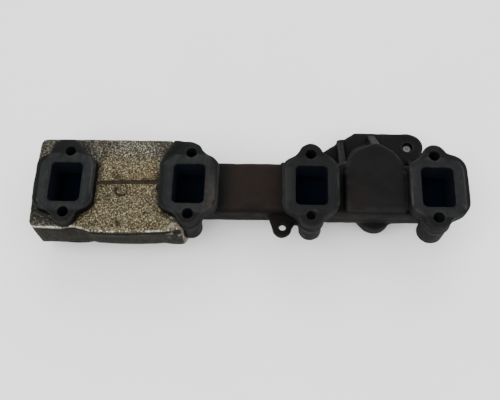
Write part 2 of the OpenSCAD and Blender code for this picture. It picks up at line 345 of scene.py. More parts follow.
def rings_mesh(rings, closed=False):
    """rings (m, n, 3): closed loops one after another. Returns vertices and polygons, ends capped with fans unless closed."""
    m, n, _ = rings.shape
    v = rings.reshape(-1, 3)
    i = np.arange(m if closed else m - 1)[:, None]
    j = np.arange(n)[None]
    a = i * n + j
    b = i * n + (j + 1) % n
    c = ((i + 1) % m) * n + (j + 1) % n
    d = ((i + 1) % m) * n + j
    quads = np.stack(np.broadcast_arrays(a, b, c, d), -1).reshape(-1, 4)
    polys = [quads]
    if not closed:
        v = np.concatenate([v, rings[0].mean(0)[None], rings[-1].mean(0)[None]])
        k = np.arange(n)
        polys.append(np.stack([(k + 1) % n, k, np.full(n, m * n)], 1))
        e = (m - 1) * n
        polys.append(np.stack([e + k, e + (k + 1) % n, np.full(n, m * n + 1)], 1))
    return v, polys


# ---------------------------------------------------------------- materials
def lin(*rgb):
    out = []
    for c in rgb:
        c = c / 255.0
        out.append(c / 12.92 if c <= 0.04045 else ((c + 0.055) / 1.055) ** 2.4)
    return (*out, 1.0)


class Mat:
    def __init__(self, name):
        self.m = bpy.data.materials.new(name)
        self.m.use_nodes = True
        self.t = self.m.node_tree
        self.t.nodes.clear()
        self.out = self.t.nodes.new("ShaderNodeOutputMaterial")
        self.b = self.t.nodes.new("ShaderNodeBsdfPrincipled")
        self.t.links.new(self.b.outputs["BSDF"], self.out.inputs["Surface"])
        self.co = self.t.nodes.new("ShaderNodeTexCoord").outputs["Object"]

    def new(self, kind, ins=None, **props):
        n = self.t.nodes.new(kind)
        for k, v in props.items():
            setattr(n, k, v)
        for k, v in (ins or {}).items():
            self.put(n.inputs[k], v)
        return n

    def put(self, sock, v):
        if isinstance(v, bpy.types.NodeSocket):
            self.t.links.new(v, sock)
        else:
            sock.default_value = v

    def noise(self, mm, detail=4.0, rough=0.55, dist=0.0, stretch=None):
        co = self.co
        if stretch:
            co = self.new("ShaderNodeMapping", {"Vector": self.co, "Scale": stretch}).outputs[0]
        return self.new("ShaderNodeTexNoise", {"Vector": co, "Scale": 1000.0 / mm, "Detail": detail, "Roughness": rough, "Distortion": dist}).outputs["Fac"]

    def voro(self, mm, feature="F1", rand=1.0):
        return self.new("ShaderNodeTexVoronoi", {"Vector": self.co, "Scale": 1000.0 / mm, "Randomness": rand}, feature=feature).outputs["Distance"]

    def map(self, f, a, b, c=0.0, d=1.0, smooth=False):
        return self.new("ShaderNodeMapRange", {"Value": f, "From Min": a, "From Max": b, "To Min": c, "To Max": d},
                        interpolation_type="SMOOTHSTEP" if smooth else "LINEAR").outputs[0]

    def math(self, op, a, b=0.0, clamp=False):
        return self.new("ShaderNodeMath", {0: a, 1: b}, operation=op, use_clamp=clamp).outputs[0]

    def attr(self, name):
        return self.new("ShaderNodeAttribute", attribute_name=name).outputs["Fac"]

    def mix(self, f, a, b, mode="MIX"):
        n = self.t.nodes.new("ShaderNodeMix")
        n.data_type = "RGBA"
        n.blend_type = mode
        self.put(n.inputs[0], f)
        self.put(n.inputs[6], a)
        self.put(n.inputs[7], b)
        return n.outputs[2]

    def xyz(self):
        s = self.new("ShaderNodeSeparateXYZ", {0: self.co})
        return s.outputs

    def bump(self, height, dist_mm, strength=1.0, normal=None):
        ins = {"Height": height, "Distance": dist_mm / 1000.0, "Strength": strength}
        if normal is not None:
            ins["Normal"] = normal
        return self.new("ShaderNodeBump", ins).outputs[0]

    def set(self, **kw):
        names = {"color": "Base Color", "rough": "Roughness", "metal": "Metallic", "normal": "Normal", "spec": "Specular IOR Level", "sheen": "Sheen Weight"}
        for k, v in kw.items():
            self.put(self.b.inputs[names[k]], v)
        return self.m


def iron_material():
    M = Mat("cast_iron")
    wear_and_highlight, cavity_shade, land, ring, port, rust = (M.attr(k) for k in ("wear_and_highlight", "cavity_shade", "land", "ring", "port", "rust"))
    broad = M.noise(38, 3, 0.5)
    mid = M.noise(9, 5, 0.6, 0.3)
    fine = M.noise(1.6, 4, 0.65)
    c = M.mix(M.map(broad, 0.35, 0.65, smooth=True), lin(*IRON_A), lin(*IRON_B))
    c = M.mix(M.math("MULTIPLY", M.map(mid, 0.42, 0.7, smooth=True), 0.55), c, lin(*IRON_C))
    # heat-browned stretch of the log and the left of the dome
    x, y, z = M.xyz()
    warm = M.math("MULTIPLY", M.map(x, -0.028, -0.015, smooth=True), M.map(x, 0.038, 0.024, smooth=True))
    patch = M.math("MULTIPLY", M.map(x, 0.086, 0.094, smooth=True), M.map(x, 0.12, 0.1, smooth=True))
    warm = M.math("ADD", warm, M.math("MULTIPLY", M.math("MULTIPLY", patch, 0.5), M.map(y, 0.02, -0.012, smooth=True)), True)
    warm = M.math("MULTIPLY", warm, M.map(z, -0.009, -0.0115))
    warm = M.math("MULTIPLY", warm, M.map(mid, 0.25, 0.6, 0.35, 1.0))
    c = M.mix(warm, c, lin(*IRON_WARM))
    c = M.mix(M.math("MULTIPLY", land, M.map(mid, 0.3, 0.7, 0.25, 0.75)), c, lin(*IRON_LAND))
    c = M.mix(M.math("MULTIPLY", ring, M.map(M.noise(3.2, 5, 0.7, 0.5, stretch=(1.0, 0.4, 1.0)), 0.36, 0.64, 0.3, 1.0)), c, M.mix(M.map(x, 0.0, 0.02), lin(*IRON_RING), lin(27, 29, 30)))
    # painted shade: hollows, creases and the foot of the dome are darkened where shade falls
    c = M.mix(M.math("MULTIPLY", M.map(cavity_shade, 0.04, 0.45), 0.85), c, lin(7, 6, 6))
    # rubbed wear on convex edges, plus a painted highlight along the edge of the raised joint face
    c = M.mix(M.math("MULTIPLY", M.map(wear_and_highlight, 0.12, 0.75), M.map(mid, 0.3, 0.65, 0.15, 0.7)), c, lin(*IRON_WEAR_AND_HIGHLIGHT))
    # painted highlight: a light line along the side edges of each joint face
    c = M.mix(M.math("MULTIPLY", M.attr("edge"), 0.42), c, lin(66, 68, 68))
    third = M.math("MULTIPLY", M.map(x, 0.02, 0.024), M.map(x, 0.1, 0.096))
    c = M.mix(M.math("MULTIPLY", M.math("MULTIPLY", third, land), 0.45), c, lin(9, 10, 10))
    # painted shade under the log between the middle ports
    c = M.mix(M.math("MULTIPLY", M.attr("low"), 0.75), c, lin(7, 7, 6))
    c = M.mix(M.math("MULTIPLY", rust, M.map(M.noise(3.5, 4, 0.7), 0.38, 0.62, smooth=True)), c, lin(50, 44, 35))
    # soot and painted deep shade inside the ports, tinted dark blue
    c = M.mix(port, c, lin(8, 18, 30))
    r = M.map(mid, 0.25, 0.75, 0.58, 0.8)
    r = M.math("SUBTRACT", r, M.math("MULTIPLY", ring, 0.1))
    # the painted-shade mask of the hollows also roughens them
    r = M.math("ADD", r, M.math("MULTIPLY", cavity_shade, 0.15))
    r = M.math("ADD", r, M.math("MULTIPLY", port, 0.3), True)
    g = M.math("ADD", M.math("MULTIPLY", fine, 0.7), M.math("MULTIPLY", M.noise(0.7, 2, 0.5), 0.3))
    smoothness = M.math("SUBTRACT", 1.0, M.math("MULTIPLY", land, 0.55))
    n = M.bump(M.math("MULTIPLY", g, smoothness), 0.55, 0.85)
    return M.set(color=c, rough=r, normal=n, spec=0.07, metal=0.0)


IRON_A = (9, 9, 9)
IRON_B = (15, 15, 15)
IRON_C = (22, 21, 20)
IRON_WARM = (28, 21, 18)
IRON_LAND = (16, 18, 18)
IRON_RING = (33, 35, 36)
IRON_WEAR_AND_HIGHLIGHT = (48, 48, 46)


# ---------------------------------------------------------------- casting
def build_casting():
    h = 1.0
    org = (-208.5, -47.5, -64.5)
    xs = org[0] + h * np.arange(417)
    ys = org[1] + h * np.arange(132)
    zs = org[2] + h * np.arange(68)
    F = np.full((len(xs), len(ys), len(zs)), 20.0, np.float32)

    def put(fn, lo, hi, k=0.0, sub=False, pad=7.0):
        sl, g = [], []
        for c, a, b in ((xs, lo[0], hi[0]), (ys, lo[1], hi[1]), (zs, lo[2], hi[2])):
            s = slice(int(np.searchsorted(c, a - pad)), int(np.searchsorted(c, b + pad)))
            sl.append(s)
            g.append(c[s])
        X, Y, Z = g[0][:, None, None], g[1][None, :, None], g[2][None, None, :]
        d = fn(X, Y, Z).astype(np.float32)
        A = F[tuple(sl)]
        F[tuple(sl)] = smax(A, -d, k) if sub else smin(A, d, k)

    # log with rounded ends
    def log3(x, y, z):
        d = log2(y, z) + 4.0
        w = np.abs(x + 1.0) - 197.0 + 4.0
        return np.minimum(np.maximum(d, w), 0) + np.hypot(np.maximum(d, 0), np.maximum(w, 0)) - 4.0
    put(log3, (-198, -20, -60), (196, 33, -21))
    for i in range(4):
        px, bx = PORT_X[i], BOLT_X[i]
        put(lambda x, y, z: ext(box2(x, y, px, 0.8, 44, 52.2, 10), z, 10, 31, 1), (px - 22, -26, -31), (px + 22, 27, -10), 5)
        for t in (-1, 1):
            put(lambda x, y, z: ext(circ(x, y, bx, t * BOLT_Y, 10.8), z, 10, 39.6, 1.2), (bx - 11, t * BOLT_Y - 11, -40), (bx + 11, t * BOLT_Y + 11, -10), 5)
            ya = 16 if t > 0 else -20
            put(lambda x, y, z: ext(box2(x, y, bx, ya, 12, 20, 2), z, 12, 34, 2), (bx - 6, ya - 10, -34), (bx + 6, ya + 10, -12), 5)
    # wider foot of the last lower boss and the shoulder behind the last flange
    put(lambda x, y, z: ext(circ(x, y, 171.6, -31, 10.8 + 1.2 * ramp01(-z, 12, 30)), z, 3, 39.6, 1.4), (159, -44, -40), (184, -18, -3), 3)
    put(lambda x, y, z: ext(box2(x, y, 186.8, 3.45, 34.2, 61.5, 15), z, 1.6, 20, 2.6), (169, -30, -20), (204, 35, -1), 3)
    # collector dome over its square foot
    def dome3(x, y, z):
        d = circ(x, y, DOME[0], DOME[1], 28.5)
        d = smin(d, box2(x, y, DOME[0], 2.1, 57, 37.4, 3), 2)
        return ext(d, z, 12, 54, 4.0)
    put(dome3, (90, -20, -54), (149, 51, -12), 4)
    put(lambda x, y, z: ext(box2(x, y, DOME[0], 0, 57, 40, 3), z, 12, 31, 3.0), (90, -21, -31), (149, 21, -12), 4)
    put(lambda x, y, z: ext(box2(x, y, DOME[0], -11.0, 95, 20, 4), z, 20.2, 32, 1.8), (72, -21, -32), (167, 0, -20), 3)
    put(lambda x, y, z: ext(box2(x, y, DOME[0], -7.8, 95, 20, 4), z, 28, 50, 1.8), (72, -18, -50), (167, 3, -28), 4)
    put(lambda x, y, z: ext(circ(x, y, OUTLET[0], OUTLET[1], 29.5), z, 44, 54), (92, 7, -54), (152, 67, -44), 5)

    def lugs(x, y, z):
        r = 15.8
        ur, ul, lo = STUDS
        d = np.minimum(seg(x, y, ul, lo, r), seg(x, y, lo, ur, r))
        d = np.minimum(d, circ(x, y, ur[0], ur[1], r))
        d = np.minimum(d, poly(x, y, [ur, ul, lo]))
        d = np.minimum(d, poly(x, y, [ur, (ur[0], ur[1] + r), (105, ur[1] + r), (ul[0] - 0.564 * r, ul[1] + 0.826 * r), ul]))
        d = np.minimum(d, circ(x, y, OUTLET[0], OUTLET[1], 33))
        return ext(d, z, 50, 62, 1.5)
    put(lugs, (59, -27, -62), (176, 83, -50), 4)

    def rib(cx, w, pts):
        lo = (cx - w, min(p[0] for p in pts), min(p[1] for p in pts))
        hi = (cx + w, max(p[0] for p in pts), max(p[1] for p in pts))

        def f(x, y, z):
            d = poly(y, z, pts) + 1.8
            q = np.abs(x - cx) - w / 2 + 1.8
            return np.minimum(np.maximum(d, q), 0) + np.hypot(np.maximum(d, 0), np.maximum(q, 0)) - 1.8
        put(f, lo, hi, 3.5)
    rib(90, 6.6, [(20, -21.5), (30.4, -21.5), (73.5, -50), (73.5, -54), (20, -54)])
    rib(122, 7.6, [(40, -13), (49.4, -13), (79, -50), (79, -54), (40, -54)])
    rib(160, 5.4, [(20, -29), (30, -29), (52, -50), (52, -54), (20, -54)])

    def tab(x, y, z):
        d = np.minimum(seg(x, y, (30.8, -32.1), (30.8, -31), 9.4), poly(x, y, [(21.9, -35), (38.9, -35), (42.4, -28.8), (47, -28.6), (50, -29.3), (52, -18), (16.5, -18)]))
        return ext(d, z, 30, 36, 1.2)
    put(tab, (17, -41, -36), (52, -18, -30), 3)
    # shield bosses on the back of the log
    for fx in FIX_X:
        for s in (-1, 1):
            fy = FIX_Y[s]
            put(lambda x, y, z: ext(circ(x, y, fx, fy, 6.5), z, 57, 66.6, 0.6), (fx - 6.5, fy - 6.5, -67), (fx + 6.5, fy + 6.5, -57), 3)
    # small casting nubs
    for cx, cy, cz, r in ((-86.4, -4.4, -4.5, 2.3), (30.6, 25.4, -12, 2.3), (31.5, 26.5, -15, 2.4), (84.0, -3.0, -22.0, 2.2)):
        put(lambda x, y, z: np.sqrt((x - cx) ** 2 + (y - cy) ** 2 + (z - cz) ** 2) - r, (cx - r, cy - r, cz - r), (cx + r, cy + r, cz + r), 2)
    # web beside the second port's upper ear
    put(lambda x, y, z: ext(poly(x, y, WEB), z, 1.2, 17, 1.2), (-85, 14, -17), (-58, 46, -1), 2)
    # port flanges, with a rounded as-cast rim in front of which the joint face is cut flat
    for i in range(4):
        hw, cx, bx = FLANGE_HW[i] + 0.4, FLANGE_CX[i], BOLT_X[i]
        er = EAR_R + EAR_EXTRA[i] + 0.4

        def flange3(x, y, z):
            d = ext(box2(x, y, cx, -0.2, 2 * hw, 56.6, 12), z, -1.3, 14, 2.6)
            for t in (-1, 1):
                e = circ(x, y, bx, t * BOLT_Y, er)
                if i == 0 and t > 0:
                    e = np.minimum(e, seg(x, y, (bx, BOLT_Y + 0.4), (bx - 7, BOLT_Y + 0.4), er))
                e = np.minimum(e, poly(x, y, [(bx - er * 0.94, t * (BOLT_Y + 3.6)), (bx + er * 0.94, t * (BOLT_Y + 3.6)), (cx + hw * (0.72 if t > 0 else 0.62), t * 26), (cx - hw * 0.62, t * 26)]))
                d = smin(d, ext(e, z, -1.3, 14, 1.8), 5)
            return d
        put(flange3, (cx - 30, -43, -14), (cx + 30, 43, 1), 4.5)
    # as-cast surface: gentle unevenness over sand grain
    wide = lattice_noise(xs, ys, zs, 13.0, 3) * 0.34 + lattice_noise(xs, ys, zs, 5.0, 5) * 0.2 + lattice_noise(xs, ys, zs, 2.2, 8) * 0.13
    F += wide
    Z = zs[None, None, :]
    F[:] = np.maximum(F, Z)
    body = F.copy()

    # ports, holes and passages
    ring_d = np.full(F.shape[:2], 99.0, np.float32)
    Xp, Yp = xs[:, None], ys[None, :]
    for i in range(4):
        px, bx = PORT_X[i], BOLT_X[i]
        put(lambda x, y, z: ext(box2(x, y, px, PORT_Y, 30, 40, 4.5), z, -3, 27.5), (px - 15, -21, -28), (px + 15, 20, 3), 0.9, True)
        ring_d = np.minimum(ring_d, box2(Xp, Yp, px, PORT_Y, 30, 40, 4.5))
        for t in (-1, 1):
            r = 4.3 if (i == 2 and t < 0) else 5.0
            put(lambda x, y, z: ext(circ(x, y, bx, t * BOLT_Y, r), z, -3, 42), (bx - r, t * BOLT_Y - r, -42), (bx + r, t * BOLT_Y + r, 3), 0.7, True)
    # chipped rim beside the smaller hole
    put(lambda x, y, z: np.sqrt((x - 60.8) ** 2 + (y + 28.6) ** 2 + (z - 0.4) ** 2) - 2.1, (58, -31, -2), (64, -26, 3), 0.6, True)

    def passage(x, y, z):
        r = 3.0 + 10.5 * (z < -40.5)
        qx = np.abs(y - 6.4) - 20.7 + r
        qy = np.abs(z + 40.5) - 14.0 + r
        d = np.hypot(np.maximum(qx, 0), np.maximum(qy, 0)) + np.minimum(np.maximum(qx, qy), 0) - r
        return np.maximum(d, np.abs(x + 1.0) - 191.5)
    put(passage, (-193, -15, -55), (191, 28, -26), 1.5, True)
    put(lambda x, y, z: ext(circ(x, y, DOME[0], DOME[1], 23), z, 17.5, 54.5, 3), (96, -2, -55), (143, 45, -17), 1.5, True)
    put(lambda x, y, z: ext(circ(x, y, OUTLET[0], OUTLET[1], 24), z, 48, 66), (98, 12, -66), (146, 61, -48), 1.0, True)
    put(lambda x, y, z: ext(circ(x, y, 31.2, -32.1, 3.4), z, 28, 38), (27, -36, -38), (35, -28, -28), 0.5, True)
    for p in STUDS:
        put(lambda x, y, z: ext(circ(x, y, p[0], p[1], 5.15), z, 42, 66), (p[0] - 5, p[1] - 5, -66), (p[0] + 5, p[1] + 5, -42), 0.5, True)
    for fx in FIX_X:
        for s in (-1, 1):
            fy = FIX_Y[s]
            put(lambda x, y, z: ext(circ(x, y, fx, fy, 3.1), z, 57.5, 70), (fx - 3, fy - 3, -70), (fx + 3, fy + 3, -57), 0.3, True)
    # gasket step: the joint face stands a little proud of its rim
    step = np.clip((ring_d - 9.5) / 1.2, 0, 1) * 0.35
    near = zs > -2.2
    F[:, :, near] += (step[:, :, None] * (zs[near] > -1.2)[None, None, :]).astype(np.float32)

    v, q = surface_nets(F, org, h)
    # masks
    lim = np.clip(F, -6, 6)
    cur = blur(lim, 3)
    c = sample(cur, org, h, v) - sample(lim, org, h, v)
    big = blur(np.clip(F, -12, 12)[::2, ::2, ::2].copy(), 4)
    c2 = sample(big, org, h * 2, v)
    pd = sample(np.repeat(ring_d[:, :, None], 2, 2), org, h, np.stack([v[:, 0], v[:, 1], np.full(len(v), org[2] + 0.2)], 1))
    outer = sample(body, org, h, v)
    inside = np.clip((-outer - 0.8) / 2.2, 0, 1)
    depth = np.clip((-0.4 - v[:, 2]) / 3.0, 0, 1)
    flat = np.clip((v[:, 2] + 0.5) / 0.3, 0, 1)
    n1 = fbm(v, 7, 4)
    attrs = {
        # convex wear plus a painted highlight band near the joint-face edge
        "wear_and_highlight": np.clip(c / 1.1 + 0.1 * n1 + 0.75 * flat * np.exp(-((pd - 9.6) / 0.8) ** 2) * np.clip(0.35 + 1.3 * n1, 0, 1), 0, 1) * (1 - inside),
        # painted shade mask: concavity plus a wide ambient-occlusion blur
        "cavity_shade": np.clip(-c / 1.4 + np.clip(-c2 / 9, 0, 0.6), 0, 1),
        "land": flat,
        # painted highlight line along the side edges of each joint face
        "edge": flat * np.exp(-((pd - 9.4) / 0.75) ** 2) * np.clip(0.35 + 1.8 * n1, 0, 1) * np.clip((26 - np.abs(v[:, 1])) / 6, 0, 1),
        # painted shade mask for the underside of the log
        "low": np.clip((-10 - v[:, 1]) / 7, 0, 1) * np.clip((-20 - v[:, 2]) / 4, 0, 1) * np.clip((76 - np.abs(v[:, 0])) / 6, 0, 1),
        "ring": np.clip(flat * np.clip((pd - 1.0) / 1.5, 0, 1) * np.clip((9.6 - pd + 1.0 * n1) / 1.6, 0, 1), 0, 1),
        # mask for soot and painted deep shade inside the ports
        "port": inside * depth,
        "rust": 0.6 * np.clip(1.5 - np.hypot((v[:, 0] + 38.5) / 6.5, (v[:, 1] + 19.0) / 8.5), 0, 1) * (v[:, 2] > -8) * (pd > -0.5)
        + 0.8 * np.clip(1.6 - np.hypot(v[:, 0] - 61, v[:, 1] + 28.6) / 2.2, 0, 1) * (v[:, 2] > -4),
    }
    ob = add_mesh("casting_detail", v, [q], attrs, angle=50, limit=198000)
    ob.data.materials.append(iron_material())
    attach(ob, "root")
    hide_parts("manifold_casting")
    return ob


# ---------------------------------------------------------------- thin sheets
def sheet_mesh(name, P_out, P_in, D, attrs, flip, angle, limit):
    """A grid of outer points and one of inner points become one closed sheet, cut away where D is not positive."""
    nu, nt = D.shape
    k = np.arange(nu * nt).reshape(nu, nt)
    a, b, c, d = k[:-1, :-1].ravel(), k[1:, :-1].ravel(), k[1:, 1:].ravel(), k[:-1, 1:].ravel()
    q = np.stack([a, b, c, d], 1)
    pos = D.ravel()[q] > 0
    whole = q[pos.all(1)]
    mixed = q[pos.any(1) & ~pos.all(1)]
    cuts, cut_of, odd = [], {}, []
    Df = D.ravel()
    base = nu * nt
    for cell in mixed.tolist():
        out = []
        for m in range(4):
            p0, p1 = cell[m], cell[(m + 1) % 4]
            if Df[p0] > 0:
                out.append(p0)
            if (Df[p0] > 0) != (Df[p1] > 0):
                key = (min(p0, p1), max(p0, p1))
                if key not in cut_of:
                    t = Df[key[0]] / (Df[key[0]] - Df[key[1]])
                    cut_of[key] = base + len(cuts)
                    cuts.append((key[0], key[1], min(max(t, 0.03), 0.97)))
                out.append(cut_of[key])
        if len(out) > 2:
            odd.append(out)
    cuts = np.array(cuts) if cuts else np.zeros((0, 3))
    i0, i1, t = cuts[:, 0].astype(int), cuts[:, 1].astype(int), cuts[:, 2]

    def full(A):
        A = A.reshape(nu * nt, -1)
        return np.concatenate([A, A[i0] * (1 - t)[:, None] + A[i1] * t[:, None]])
    O, I = full(P_out), full(P_in)
    at = {key: full(val)[:, 0] for key, val in attrs.items()}
    used = np.zeros(len(O), bool)
    used[whole.ravel()] = True
    for f in odd:
        used[f] = True
    new = np.cumsum(used) - 1
    O, I = O[used], I[used]
    at = {key: np.concatenate([v[used], v[used]]) for key, v in at.items()}
    whole = new[whole]
    odd = [[int(new[x]) for x in f] for f in odd]
    if flip:
        whole = whole[:, ::-1]
        odd = [f[::-1] for f in odd]
    N = len(O)
    e = [whole[:, [m, (m + 1) % 4]] for m in range(4)]
    e.append(np.array([[f[m], f[(m + 1) % len(f)]] for f in odd for m in range(len(f))], np.int64).reshape(-1, 2))
    e = np.concatenate(e)
    rim = e[~np.isin(e[:, 0] * (2 * N) + e[:, 1], e[:, 1] * (2 * N) + e[:, 0])]
    polys = [whole, whole[:, ::-1] + N, np.stack([rim[:, 1], rim[:, 0], rim[:, 0] + N, rim[:, 1] + N], 1)]
    if odd:
        polys += [odd, [[x + N for x in f[::-1]] for f in odd]]
    return add_mesh(name, np.concatenate([O, I]), polys, at, angle=angle, limit=limit)


def half_outline(s, inset, gap, pitch):
    S = SHIELD
    zf, zb = -(S["front"] + inset), -(S["back"] - inset)
    rf = S["rf"] - inset
    rr = (S["rt"] if s > 0 else S["rb"]) - inset
    ye = (S["y1"] - inset) if s > 0 else (S["y0"] + inset)
    pts, nor = [], []

    def line(p, q, n):
        m = max(2, int(np.hypot(q[0] - p[0], q[1] - p[1]) / 0.1))
        for f in np.linspace(0, 1, m):
            pts.append((p[0] + (q[0] - p[0]) * f, p[1] + (q[1] - p[1]) * f))
            nor.append(n)

    def arc(c, r, a0, a1):
        for f in np.linspace(0, 1, max(8, int(r * 16))):
            a = math.radians(a0 + (a1 - a0) * f)
            n = (s * math.cos(a), math.sin(a))
            pts.append((c[0] + r * n[0], c[1] + r * n[1]))
            nor.append(n)
    ys = SEAM_Y + s * gap
    line((ys, zf), (ye - s * rf, zf), (0, 1))
    arc((ye - s * rf, zf - rf), rf, 90, 0)
    line((ye, zf - rf), (ye, zb + rr), (s, 0))
    arc((ye - s * rr, zb + rr), rr, 0, -90)
    line((ye - s * rr, zb), (ys, zb), (0, -1))
    pts, nor = np.array(pts), np.array(nor, float)
    L = np.concatenate([[0], np.cumsum(np.hypot(*np.diff(pts, axis=0).T))])
    n = int(L[-1] / pitch) + 1
    u = np.linspace(0, L[-1], n)
    return np.stack([np.interp(u, L, pts[:, 0]), np.interp(u, L, pts[:, 1])], 1), np.stack([np.interp(u, L, nor[:, 0]), np.interp(u, L, nor[:, 1])], 1)


def right_end(s):
    return -75.5 if s > 0 else -62.0


def openings(p, s, c, hole_r):
    x, y, z = p[:, 0], p[:, 1], p[:, 2]
    d = np.full(len(p), 99.0)
    for i in (0, 1):
        px, bx = PORT_X[i], BOLT_X[i]
        d = np.minimum(d, ext(flange2(i, x, y, c), z, -3, 14 + c))
        d = np.minimum(d, ext(box2(x, y, px, 0.8, 44 + 2 * c, 52.2 + 2 * c, 10 + c), z, 13, 31 + c))
        for t in (-1, 1):
            d = np.minimum(d, ext(circ(x, y, bx, t * BOLT_Y, 10.5 + c), z, 13, 39 + c))
            d = np.minimum(d, ext(box2(x, y, bx, t * 18, 12 + 2 * c, 22 + 2 * c, 2), z, 12, 34 + c))
    d = np.minimum(d, ext(poly(x, y, WEB) - c, z, 1, 17 + c))
    xe = right_end(s)
    e = box2(y, z, 6.0, -32.5, 50 + 2 * c, 55 + 2 * c, 4)
    e = np.maximum(e, log2(y, np.minimum(z, -40.5), c))
    d = np.minimum(d, np.maximum(e, (xe - 6) - x))
    for fx in FIX_X:
        d = np.minimum(d, ext(circ(x, y, fx, FIX_Y[s], hole_r), z, 60, 80))
    return d


def ramp01(v, a, b):
    t = np.clip((v - a) / (b - a), 0, 1)
    return t * t * (3 - 2 * t)


LIP_X = (-207.3, -204, -177, -170, -163, -156, -150, -130, -110, -95, -78, -66, -60)
LIP_DY = (2.0, 2.0, 0.9, 2.3, 2.7, 0.8, -1.5, -1.8, -1.5, -1.2, 0.0, 1.5, 2.0)


def dents(p, n, s):
    """Low dents shared by the skin, the felt and the liner."""
    x, y, z = p[:, 0], p[:, 1], p[:, 2]
    front = ramp01(n[:, 2], 0.5, 0.9)
    d = 0.55 * fbm(p, 33, 11, 2) + 0.28 * fbm(p, 12, 12, 2)
    d = d + front * (-1.5 * np.exp(-(((x + 142.7) ** 2 + (y - 33.8) ** 2) / 11.0)))
    d = d + front * (-1.0 * np.exp(-(((x + 123.8) ** 2 + (y + 37.1) ** 2) / 5.0)))
    d = d + front * (-0.5 * np.exp(-(((x + 129.3) ** 2 + (y - 8.2) ** 2) / 20.0)))
    d = d + front * (-0.7 * np.exp(-(((x + 104.0) ** 2) / 4.0)) * np.exp(-((y + 4) / 9.0) ** 2))
    # soft creases across the upper panel
    d = d + front * 0.5 * np.sin((y + 0.14 * x) * 0.42) * np.exp(-((y - 20) / 14.0) ** 2) * (s > 0)
    if s < 0:
        crumple = ramp01(x, -80, -72) * ramp01(-y, 25, 32) * ramp01(z, -30, -20)
        d = d + crumple * (0.7 * fbm(p, 5.5, 15, 2) + 0.2)
        under = ramp01(-n[:, 1], 0.5, 0.85)
        d = d + under * (1.3 * np.exp(-(((x + 166.5) ** 2 + (z + 38) ** 2) / 90.0)) - 2.3 * np.exp(-(((x + 166.5) ** 2 + (z + 38) ** 2) / 8.0)))
        d = d + under * (0.9 * np.exp(-((x + 119) / 24.0) ** 2) - 0.9 * np.exp(-((x + 152.5) / 4.0) ** 2) - 0.8 * np.exp(-((x + 84) / 5.0) ** 2) * np.exp(-((z + 45) / 12) ** 2))
    calm = 0
    for fx in FIX_X:
        calm = calm + np.exp(-(((x - fx) ** 2 + (y - FIX_Y[s]) ** 2) / 90.0)) * (n[:, 2] < -0.5)
    return d * (1 - np.clip(calm * 1.6, 0, 1))


